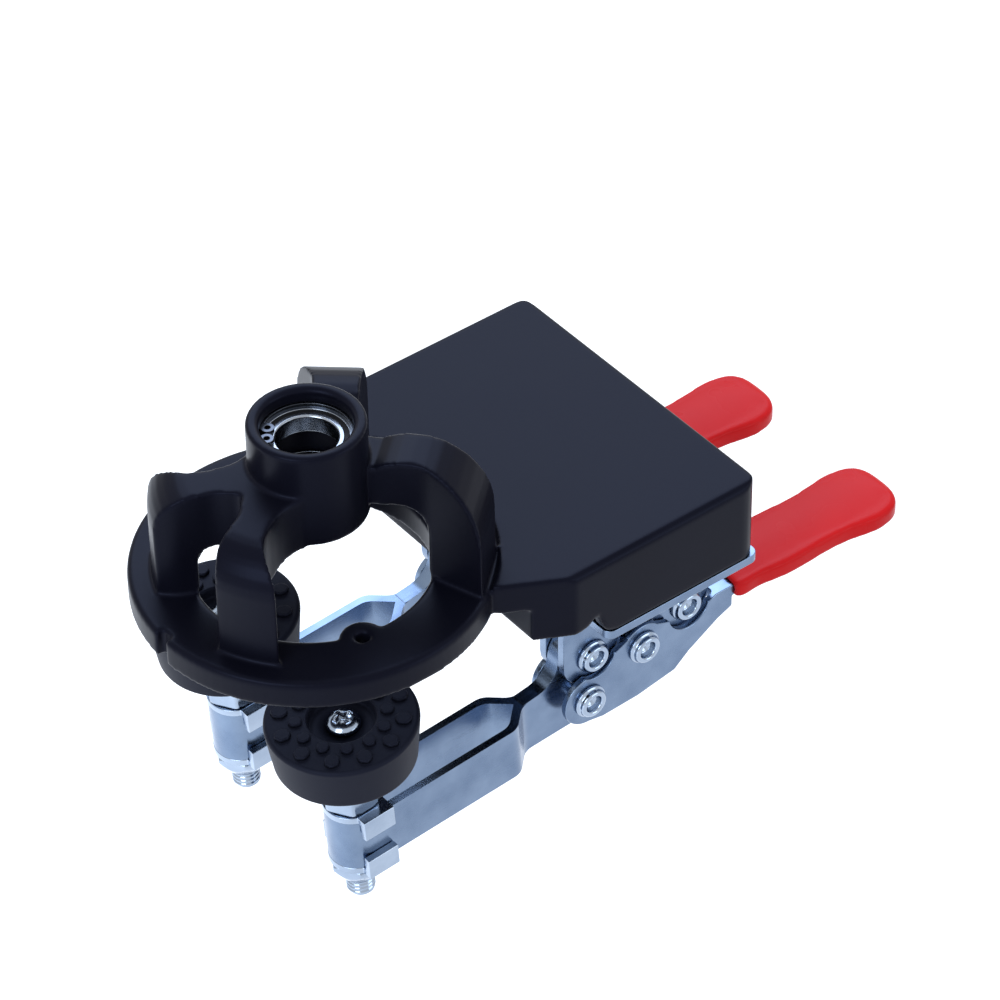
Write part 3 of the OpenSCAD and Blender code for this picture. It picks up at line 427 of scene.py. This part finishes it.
def finish(name, group, bump, depth, **inputs):
    """A material whose color, roughness and bump come from a shared effect, and its shader."""
    material = bpy.data.materials.new(name)
    tree = tree_of(material)
    effect = add(tree, "ShaderNodeGroup")
    effect.node_tree = group
    for label, value in inputs.items():
        effect.inputs[label.replace("_", " ")].default_value = value
    shader = add(tree, "ShaderNodeBsdfPrincipled")
    ripple = add(tree, "ShaderNodeBump", Strength=bump, Distance=depth)
    out = add(tree, "ShaderNodeOutputMaterial")
    link = tree.links.new
    link(effect.outputs["Color"], shader.inputs["Base Color"])
    link(effect.outputs["Roughness"], shader.inputs["Roughness"])
    link(effect.outputs["Height"], ripple.inputs["Height"])
    link(ripple.outputs["Normal"], shader.inputs["Normal"])
    link(shader.outputs["BSDF"], out.inputs["Surface"])
    return material, shader


def plastic(name, color, worn, roughness, shine, tint=WHITE, bump=0.25, scale=GRAIN_SCALE,
            spread=GRAIN_SPREAD):
    material, shader = finish(name, GRAIN, bump, PLASTIC_BUMP, Scale=scale, Roughness=roughness,
                              Spread=spread, Color=(*color, 1), Worn_Color=(*worn, 1))
    shader.inputs["Specular IOR Level"].default_value = shine
    shader.inputs["Specular Tint"].default_value = tint
    return material


moulding = plastic("moulded_nylon", (0.0036, 0.0036, 0.0074), (0.0050, 0.0052, 0.0102),
                   roughness=0.35, shine=0.08, tint=SHEEN_TINT)
rubber = plastic("pad_rubber", (0.0075, 0.0082, 0.0145), (0.0120, 0.0130, 0.0210),
                 roughness=0.52, shine=0.11, tint=SHEEN_TINT, bump=0.5, scale=500.0, spread=0.15)
seal = plastic("seal_rubber", (0.006, 0.006, 0.007), (0.010, 0.010, 0.011),
               roughness=0.5, shine=0.2)
dip = plastic("dipped_vinyl", (0.70, 0.014, 0.016), (0.76, 0.020, 0.022),
              roughness=0.28, shine=0.08, tint=VINYL_TINT, bump=0.12, scale=350.0)
print([material.name for material in (moulding, rubber, seal, dip)])

# %% [markdown]
# ## Metals
# The clamps are steel sheet plated with zinc, which looks bluish and cloudy. Rivets and nuts are
# plated brighter, bearing races are ground, and a ball cage is pressed from brass. All of them
# take the same streaks, so a finish is two colours, a roughness and the strength of the streaks.

# %% Materials of metal
METAL_BUMP = 0.01 * MM
# How closely the streaks' noise is squeezed along x, y and z: least along x, where they run
ROLLED = (60.0, 1400.0, 1400.0)


def metal(name, color, cloud, roughness, spread=0.14, bump=0.2):
    material, shader = finish(name, STREAKS, bump, METAL_BUMP, Stretch=ROLLED,
                              Roughness=roughness, Spread=spread, Color=(*color, 1),
                              Cloud_Color=(*cloud, 1))
    shader.inputs["Metallic"].default_value = 1.0
    return material


sheet = metal("plated_sheet", (0.196, 0.262, 0.372), (0.125, 0.178, 0.275), roughness=0.25)
bright = metal("bright_plate", (0.385, 0.460, 0.570), (0.27, 0.335, 0.44), roughness=0.17,
               spread=0.08, bump=0.05)
race = metal("ground_steel", (0.34, 0.37, 0.42), (0.28, 0.31, 0.36), roughness=0.20,
             spread=0.05, bump=0.03)
spring = metal("spring_steel", (0.105, 0.115, 0.14), (0.07, 0.08, 0.10), roughness=0.26)
brass = metal("pressed_brass", (0.72, 0.55, 0.25), (0.62, 0.45, 0.19), roughness=0.3)
print([material.name for material in (sheet, bright, race, spring, brass)])

# %% [markdown]
# ## Dressing the engineering parts
# Folded steel, washers, screws and the bearings keep their exact mesh. Real edges are never razor
# sharp: a stamping or a tumbled part catches a thin line of light along every edge. That line
# could be painted, but a Bevel modifier gives it in every light. A Weld joins the mesh first, a
# planar Decimate takes the triangles out of flat faces, and Weighted Normal keeps them flat.

# %% Finishes and edges of the parts
MATERIALS = {"body_plastic": moulding, "sheet_steel": sheet, "bright_steel": bright,
             "race_steel": race, "spring_steel": spring, "cage_brass": brass,
             "seal_rubber": seal, "pad_rubber": rubber, "grip_plastic": dip}
# Width of the rounded edges in mm
EDGE = {"body_plastic": 0.5, "sheet_steel": 0.28, "bright_steel": 0.18, "race_steel": 0.12,
        "spring_steel": 0.1, "cage_brass": 0.05, "seal_rubber": 0.04, "pad_rubber": 0.3,
        "grip_plastic": 0.6}
EDGE_SEGMENTS = 2
EDGE_ANGLE = math.radians(34)
FLAT_ANGLE = math.radians(0.6)
JOIN_DISTANCE = 0.002


def joined(piece):
    weld = piece.modifiers.new("join", "WELD")
    weld.merge_threshold = JOIN_DISTANCE * MM


def evened(piece):
    even = piece.modifiers.new("even", "WEIGHTED_NORMAL")
    even.keep_sharp = False


def soften(piece, width):
    """Joins the mesh, clears flat faces and rounds its sharp edges."""
    joined(piece)
    flat = piece.modifiers.new("flatten", "DECIMATE")
    flat.decimate_type = "DISSOLVE"
    flat.angle_limit = FLAT_ANGLE
    edge = piece.modifiers.new("edge", "BEVEL")
    edge.width = width * MM
    edge.segments = EDGE_SEGMENTS
    edge.limit_method = "ANGLE"
    edge.angle_limit = EDGE_ANGLE
    edge.miter_outer = "MITER_ARC"
    edge.use_clamp_overlap = True
    evened(piece)


SLOT_OF = {part["node"]: part["material_slot"] for part in frame["record"]["subparts"]}
for name, piece in nodes.items():
    slot = SLOT_OF[name]
    piece.data.materials.clear()
    piece.data.materials.append(MATERIALS[slot])
    soften(piece, EDGE[slot])
print("dressed", len(nodes), "parts")

# %% [markdown]
# ## The moulding
# A moulding has a small radius on every edge, so that it fills well and leaves its mould. A Bevel
# modifier would fail on the tower, where curved arches meet a round hub. So the part is remeshed
# into even small cells, which keeps every form, and a few smoothing steps then melt its edges.
# The number of steps sets the radius: few here, and more for the soft grips further down.

# %% Melted copies
MELT_FACTOR = 0.5
BODY_CELL = 0.38
BODY_MELT = 9
BODY_KEEP = 0.42


def applied(piece):
    """Replaces a piece's mesh with the result of its modifiers."""
    graph = bpy.context.evaluated_depsgraph_get()
    mesh = bpy.data.meshes.new_from_object(piece.evaluated_get(graph))
    piece.modifiers.clear()
    piece.data = mesh


def new_piece(name, mesh, body, slot, replaced=()):
    """An object with a mesh and a finish that rides on a body and may stand for CAD nodes."""
    piece = bpy.data.objects.new(name, mesh)
    bpy.context.scene.collection.objects.link(piece)
    mesh.materials.clear()
    mesh.materials.append(MATERIALS[slot])
    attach(piece, body)
    if replaced:
        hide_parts(*replaced)
    return piece


def shade_smooth(mesh):
    mesh.polygons.foreach_set("use_smooth", [True] * len(mesh.polygons))
    mesh.update()


def melted(name, node, body, slot, cell, steps, keep):
    """A copy of a CAD node with its edges melted: cell in mm, and the share of faces to keep."""
    mesh = nodes[node].data.copy()
    piece = new_piece(name, mesh, body, slot)
    joined(piece)
    cells = piece.modifiers.new("cells", "REMESH")
    cells.mode = "VOXEL"
    cells.voxel_size = cell * MM
    cells.use_smooth_shade = True
    melt = piece.modifiers.new("melt", "SMOOTH")
    melt.factor = MELT_FACTOR
    melt.iterations = steps
    thin = piece.modifiers.new("thin", "DECIMATE")
    thin.ratio = keep
    applied(piece)
    piece.data.materials.clear()
    piece.data.materials.append(MATERIALS[slot])
    shade_smooth(piece.data)
    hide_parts(node)
    print(name, len(piece.data.polygons), "faces")
    return piece


melted("jig_moulding", "jig_body", "root", "body_plastic", BODY_CELL, BODY_MELT, BODY_KEEP)

# %% [markdown]
# ## Dipped grips
# The end of each handle was dipped in liquid vinyl, which sets thick in the middle and thin along
# the rim. That swell could be sculpted by hand, once for each grip. Here every point of a melted
# grip moves towards its middle plane, the more the nearer it lies to the rim, and a search tree
# of the rim's points finds how near that is. The underside is squeezed more than the top.

# %% Grips
GRIP_CELL = 0.45
GRIP_MELT = 16
GRIP_KEEP = 0.5
RIM_BAND = 6.5
# The rim faces sideways, and the cut at the handle's neck, which faces forward, isn't part of it
RIM_TILT = 0.35
NECK_TILT = -0.6
UNDER_SHARE = 0.5
TOP_SHARE = 0.16


def pillowed(piece):
    """Squeezes a grip towards its rim, more from below than from above."""
    mesh = piece.data
    rim = [v.co for v in mesh.vertices
           if abs(v.normal.z) < RIM_TILT and v.normal.x > NECK_TILT]
    nearest = KDTree(len(rim))
    for i, place in enumerate(rim):
        nearest.insert((place.x, place.y, 0), i)
    nearest.balance()
    heights = [v.co.z for v in mesh.vertices]
    middle = (min(heights) + max(heights)) / 2
    for vertex in mesh.vertices:
        distance = nearest.find((vertex.co.x, vertex.co.y, 0))[2] / MM
        near = max(0.0, 1 - distance / RIM_BAND) ** 2
        share = UNDER_SHARE if vertex.co.z < middle else TOP_SHARE
        vertex.co.z = middle + (vertex.co.z - middle) * (1 - share * near)
    mesh.update()


for side in SIDES:
    grip = melted(side + "_dipped_grip", side + "_grip", side + "_handle_body",
                  "grip_plastic", GRIP_CELL, GRIP_MELT, GRIP_KEEP)
    pillowed(grip)

# %% [markdown]
# ## The line of a spindle
# A spindle, its pad and its two nuts share one line, which leans a little with the arm. Each
# could be placed by its own numbers. Here one frame stands on that line, taken from the joint
# that the spindle slides on, so all four are built upright in millimetres and land in place.

# %% Along a spindle


def spindle_frame(side):
    """The frame of a spindle: its origin is the pad's centre, and z runs up the slide's axis."""
    joint = next(j for j in frame["joints"] if j["name"] == side + "_spindle_height")
    axis = Vector(joint["axis"]).normalized()
    across = Vector((0, 1, 0))
    low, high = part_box(side + "_pad")
    turned = Matrix((across.cross(axis), across, axis)).transposed().to_4x4()
    return Matrix.Translation((low + high) / 2) @ turned


def in_frame(node, place):
    """The points of a CAD node in a frame, in metres."""
    inward = place.inverted()
    return [inward @ vertex.co for vertex in nodes[node].data.vertices]


def extent(node, place):
    """Lowest and highest point of a CAD node along z of a frame, and its largest radius, in mm."""
    points = [point / MM for point in in_frame(node, place)]
    heights = [point.z for point in points]
    return min(heights), max(heights), max(math.hypot(point.x, point.y) for point in points)


PLACE = {side: spindle_frame(side) for side in SIDES}
for side in SIDES:
    print(side, "pad and spindle in mm:", [[round(v, 1) for v in extent(side + part, PLACE[side])]
                                           for part in ("_pad", "_spindle")])

# %% [markdown]
# ## Threaded spindles
# A spindle is a screw: its domed head sits in the rubber pad and its thread runs through two
# nuts. A swept helix would need care where it starts and stops. So the thread is a height field
# wrapped round a tube: at each height and angle the radius follows a triangle wave that climbs
# one pitch in each turn. The head keeps its exact mesh and is cut from the CAD spindle.

# %% Threads
THREAD_R = 3.0
THREAD_DEPTH = 0.42
THREAD_PITCH = 1.0
THREAD_ROWS = 6
THREAD_SIDES = 36
# The wave is steeper than a triangle and cut off, which leaves flats at the crests and roots
WAVE_SLOPE = 1.15
WAVE_CUT = 0.1
TIP_EASE = 1.1
HEAD_H = 2.6
HEAD_MARGIN = 0.01


def wave(phase):
    """A triangle wave from 0 at a crest to 1 at a root, with short flats."""
    part = abs(phase % 1.0 - 0.5) * 2
    return min(1.0, max(0.0, WAVE_SLOPE * part - WAVE_CUT))


def thread_radius(height, angle, low, high):
    cut = wave(height / THREAD_PITCH - angle / math.tau) * THREAD_DEPTH
    cut *= min(1.0, max(0.0, (high - height) / THREAD_PITCH))
    return THREAD_R - cut - max(0.0, TIP_EASE - (height - low))


def bridge_rings(mesh, rings):
    for lower, upper in zip(rings, rings[1:]):
        for i in range(len(lower)):
            k = (i + 1) % len(lower)
            mesh.faces.new((lower[i], lower[k], upper[k], upper[i]))


def ring_of(mesh, radii, angles, height):
    """A ring of points at one height, with a radius for each angle."""
    return [mesh.verts.new((r * math.cos(a), r * math.sin(a), height))
            for r, a in zip(radii, angles)]


def add_tube(mesh, low, high):
    """A closed threaded tube along z."""
    rows = int((high - low) / THREAD_PITCH * THREAD_ROWS)
    angles = [math.tau * i / THREAD_SIDES for i in range(THREAD_SIDES)]
    rings = []
    for row in range(rows + 1):
        height = low + (high - low) * row / rows
        radii = [thread_radius(height, angle, low, high) for angle in angles]
        rings.append(ring_of(mesh, radii, angles, height))
    bridge_rings(mesh, rings)
    mesh.faces.new(rings[0][::-1])
    mesh.faces.new(rings[-1])


def finished_mesh(mesh, name, place):
    """A bmesh in mm and in a local frame, turned into mesh data in the scene's frame."""
    bmesh.ops.recalc_face_normals(mesh, faces=mesh.faces)
    bmesh.ops.transform(mesh, matrix=place @ Matrix.Scale(MM, 4), verts=mesh.verts)
    data = bpy.data.meshes.new(name)
    mesh.to_mesh(data)
    mesh.free()
    shade_smooth(data)
    return data


def make_spindle(side):
    low, top, _ = extent(side + "_spindle", PLACE[side])
    high = top - HEAD_H
    mesh = bmesh.new()
    mesh.from_mesh(nodes[side + "_spindle"].data)
    inward = Matrix.Scale(1 / MM, 4) @ PLACE[side].inverted()
    bmesh.ops.transform(mesh, matrix=inward, verts=mesh.verts)
    bmesh.ops.remove_doubles(mesh, verts=mesh.verts, dist=JOIN_DISTANCE)
    shaft = [vertex for vertex in mesh.verts if vertex.co.z < high - HEAD_MARGIN]
    bmesh.ops.delete(mesh, geom=shaft, context="VERTS")
    add_tube(mesh, low, high)
    data = finished_mesh(mesh, side + "_threaded_spindle", PLACE[side])
    evened(new_piece(side + "_threaded_spindle", data, side + "_spindle_body",
                     "bright_steel", [side + "_spindle"]))


for side in SIDES:
    make_spindle(side)
print("2 spindles with a", THREAD_PITCH, "mm pitch")

# %% [markdown]
# ## Rubber pads
# The pads are moulded rubber drums with a recess for the spindle's head. Their top has two rings
# of low tread blocks that grip the door without marking it. A bump texture would leave the
# outline of the top flat, so the blocks are real. The drum is a lathe profile: a short list of
# radii and heights with an arc at each edge. Two loops place the blocks, the rings staggered.

# %% A pad's drum
PAD_EDGE = 0.9
PAD_TAPER = 1.0
PAD_SIDES = 96
PAD_BORE = THREAD_R + 0.05
FOOT_START = -80
RECESS_R = 6.75
RECESS_H = 3.2
RECESS_LIP = 0.5
RECESS_FILLET = 0.6
TREAD_H = 0.75
ARC_STEPS = 5


def arc(centre, radius, start, stop, steps=ARC_STEPS):
    """Points along an arc, with angles in degrees."""
    turns = [math.radians(start + (stop - start) * i / steps) for i in range(steps + 1)]
    return [(centre[0] + radius * math.cos(t), centre[1] + radius * math.sin(t)) for t in turns]


def add_lathe(mesh, profile, sides):
    """A closed ring of revolution about z through a closed profile of radii and heights."""
    rings = []
    for i in range(sides):
        angle = math.tau * i / sides
        rings.append([mesh.verts.new((r * math.cos(angle), r * math.sin(angle), z))
                      for r, z in profile])
    for i in range(sides):
        here, after = rings[i], rings[(i + 1) % sides]
        for k in range(len(profile)):
            m = (k + 1) % len(profile)
            mesh.faces.new((here[k], after[k], after[m], here[m]))


def drum_profile(low, floor, high, radius):
    """Radii and heights of a pad, from its bore round its outside and back into its recess."""
    foot_r = radius - PAD_TAPER
    profile = [(PAD_BORE, low), (foot_r - PAD_EDGE, low)]
    profile += arc((foot_r - PAD_EDGE, low + PAD_EDGE), PAD_EDGE, FOOT_START, 0)
    profile += arc((radius - PAD_EDGE, floor - PAD_EDGE), PAD_EDGE, 0, 90)
    profile += arc((RECESS_R + RECESS_LIP, floor - RECESS_LIP), RECESS_LIP, 90, 180)
    profile += arc((RECESS_R - RECESS_FILLET, high - RECESS_H + RECESS_FILLET),
                   RECESS_FILLET, 0, -90)
    return profile + [(PAD_BORE, high - RECESS_H)]


low, high, radius = extent("left_pad", PLACE["left"])
print("drum of", round(2 * radius, 1), "by", round(high - low, 1), "mm")

# %% [markdown]
# ## Tread blocks
# A tread gives a pad its grip, since each low block presses harder than a whole face would. The
# blocks could be cut out of the drum with a boolean. Separate blocks that sink a little into it
# are simpler, and each is eased towards its top, so that its rim catches the light.

# %% Tread and pads
TREAD_COUNT = 12
# Distance from the middle, size, and turn as a share of the spacing, for each ring of blocks
TREAD_RINGS = ((9.0, 1.25, 0.0), (12.2, 1.5, 0.5))
BLOCK_STRETCH = 1.1
BLOCK_CORNER = 0.2
BLOCK_SINK = 0.2
# Size of a block as a share, and depth below its top in mm, from its shoulder upwards
BLOCK_EASE = ((1.0, 0.25), (0.93, 0.07), (0.82, 0.0))
BLOCK_FOOT = 1.04


def block_outline(size):
    """A hexagon with three points at each corner, which round it."""
    outline = []
    for corner in range(6):
        middle = math.tau * corner / 6
        outline += [(BLOCK_STRETCH * size * math.cos(middle + turn),
                     size * math.sin(middle + turn))
                    for turn in (-BLOCK_CORNER, 0.0, BLOCK_CORNER)]
    return outline


def add_block(mesh, distance, angle, size, base, top):
    """One tread block: a hexagon with rounded corners and an eased top."""
    levels = [(BLOCK_FOOT, base)] + [(share, top - depth) for share, depth in BLOCK_EASE]
    outline = block_outline(size)
    rings = []
    for share, height in levels:
        ring = []
        for x, y in outline:
            u, v = distance + x * share, y * share
            ring.append(mesh.verts.new((u * math.cos(angle) - v * math.sin(angle),
                                        u * math.sin(angle) + v * math.cos(angle), height)))
        rings.append(ring)
    bridge_rings(mesh, rings)
    mesh.faces.new(rings[-1])
    mesh.faces.new(rings[0][::-1])


def make_pad(side):
    low, high, radius = extent(side + "_pad", PLACE[side])
    floor = high - TREAD_H
    mesh = bmesh.new()
    add_lathe(mesh, drum_profile(low, floor, high, radius), PAD_SIDES)
    for distance, size, shift in TREAD_RINGS:
        for i in range(TREAD_COUNT):
            angle = math.tau * (i + shift) / TREAD_COUNT
            add_block(mesh, distance, angle, size, floor - BLOCK_SINK, high)
    data = finished_mesh(mesh, side + "_rubber_pad", PLACE[side])
    evened(new_piece(side + "_rubber_pad", data, side + "_spindle_body", "pad_rubber",
                     [side + "_pad"]))


for side in SIDES:
    make_pad(side)
print("2 pads with", len(TREAD_RINGS) * TREAD_COUNT, "tread blocks each")

# %% [markdown]
# ## Nuts
# Two hexagon nuts hold each spindle. A nut's corners are cut back by a cone, lightly on the upper
# nut and deeply under the lower one, which tapers towards the tip. A boolean with a cone would do
# it and leave thin slivers. Here the radius at each height and angle is the smaller of the
# hexagon's and the cone's, and the corners fall where the CAD nut has them.

# %% Hexagon nuts
NUT_SIDES = 6
NUT_STEPS = 12
NUT_LEVELS = 10
# Height of each cone as a share of the nut's, and its radius at the end as a share of the
# corners': the lower cone and the upper one
NUT_CONES = {"upper_nut": ((0.14, 0.90), (0.14, 0.90)),
             "lower_nut": ((0.75, 0.62), (0.10, 0.93))}


def nut_radius(angle, share, corner_r, cones):
    half_side = math.pi / NUT_SIDES
    off_corner = (angle + half_side) % (2 * half_side) - half_side
    radius = corner_r * math.cos(half_side) / math.cos(half_side - abs(off_corner))
    for (tall, small), place in zip(cones, (share, 1 - share)):
        radius = min(radius, corner_r * (small + (1 - small) * min(1.0, place / tall)))
    return radius


def make_nut(side, kind):
    node = side + "_" + kind
    low, high, corner_r = extent(node, PLACE[side])
    corner = max(in_frame(node, PLACE[side]), key=lambda p: math.hypot(p.x, p.y))
    first = math.atan2(corner.y, corner.x)
    count = NUT_SIDES * NUT_STEPS
    turns = [math.tau * i / count for i in range(count)]
    angles = [first + turn for turn in turns]
    mesh = bmesh.new()
    rings = []
    for level in range(NUT_LEVELS + 1):
        share = level / NUT_LEVELS
        radii = [nut_radius(turn, share, corner_r, NUT_CONES[kind]) for turn in turns]
        rings.append(ring_of(mesh, radii, angles, low + (high - low) * share))
    for height in (high, low):
        rings.append(ring_of(mesh, [THREAD_R] * count, angles, height))
    bridge_rings(mesh, rings + [rings[0]])
    data = finished_mesh(mesh, node + "_coned", PLACE[side])
    evened(new_piece(node + "_coned", data, side + "_arm_body", SLOT_OF[node], [node]))


for side in SIDES:
    for kind in NUT_CONES:
        make_nut(side, kind)
print(len(SIDES) * len(NUT_CONES), "nuts")

# %% [markdown]
# ## Rivets
# Each pivot is a tubular rivet. Its head is a thin collar with a rolled ring on it, where the
# tube's end was curled over, and a hole in the middle. A bevel on the CAD's plain head couldn't
# give that ring, so it is a lathe profile again, this time about the axis across the clamp. It
# starts at the middle of the shaft, so that one half and its mirror image make the rivet.

# %% Rivet heads
RIVET_BODY = {"arm_rivet": "root", "link_rivet": "root", "handle_rivet": "handle_body",
              "toggle_rivet": "handle_body"}
RIVET_HEAD_H = 2.0
RIVET_SHAFT_R = 2.0
RIVET_SIDES = 48
COLLAR_H = 0.75
COLLAR_EDGE = 0.3
COLLAR_FOOT = 0.1
COLLAR_STEPS = 3
RING_INSET = 1.2
RING_R = 0.65
RING_ARC = (-15, 185)
RING_STEPS = 9
# The hole inside the ring: distance in from the ring's line and height above the sheet
HOLE_EDGE = (0.75, 0.35)
HOLE_FLOOR = (0.95, 0.15)
# The middle of the hole: radius and height above the sheet
HOLE_MIDDLE = (0.25, 0.1)


def head_profile(seat, radius):
    """Radii and heights of a head that sits on a sheet at seat, from its rim to its middle."""
    ring_r = radius - RING_INSET
    points = [(radius - COLLAR_FOOT, seat)]
    points += arc((radius - COLLAR_EDGE, seat + COLLAR_H - COLLAR_EDGE), COLLAR_EDGE, 0, 90,
                  COLLAR_STEPS)
    points += arc((ring_r, seat + RIVET_HEAD_H - RING_R), RING_R, *RING_ARC, RING_STEPS)
    points += [(ring_r - inset, seat + height) for inset, height in (HOLE_EDGE, HOLE_FLOOR)]
    return points + [(HOLE_MIDDLE[0], seat + HOLE_MIDDLE[1])]


def make_rivet(side, kind, body):
    node = side + "_" + kind
    low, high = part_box(node)
    middle = (low + high) / 2
    half = (high.y - low.y) / 2 / MM
    radius = (high.x - low.x) / 2 / MM
    seat = half - RIVET_HEAD_H
    upper = [(RIVET_SHAFT_R, seat)] + head_profile(seat, radius)
    lower = [(r, -h) for r, h in reversed(upper)]
    mesh = bmesh.new()
    add_lathe(mesh, lower + upper, RIVET_SIDES)
    place = Matrix.Translation(middle) @ Matrix.Rotation(math.pi / 2, 4, "X")
    data = finished_mesh(mesh, node + "_rolled", place)
    owner = body if body == "root" else side + "_" + body
    new_piece(node + "_rolled", data, owner, "bright_steel", [node])


for side in SIDES:
    for kind, body in RIVET_BODY.items():
        make_rivet(side, kind, body)
print(len(SIDES) * len(RIVET_BODY), "rivets")
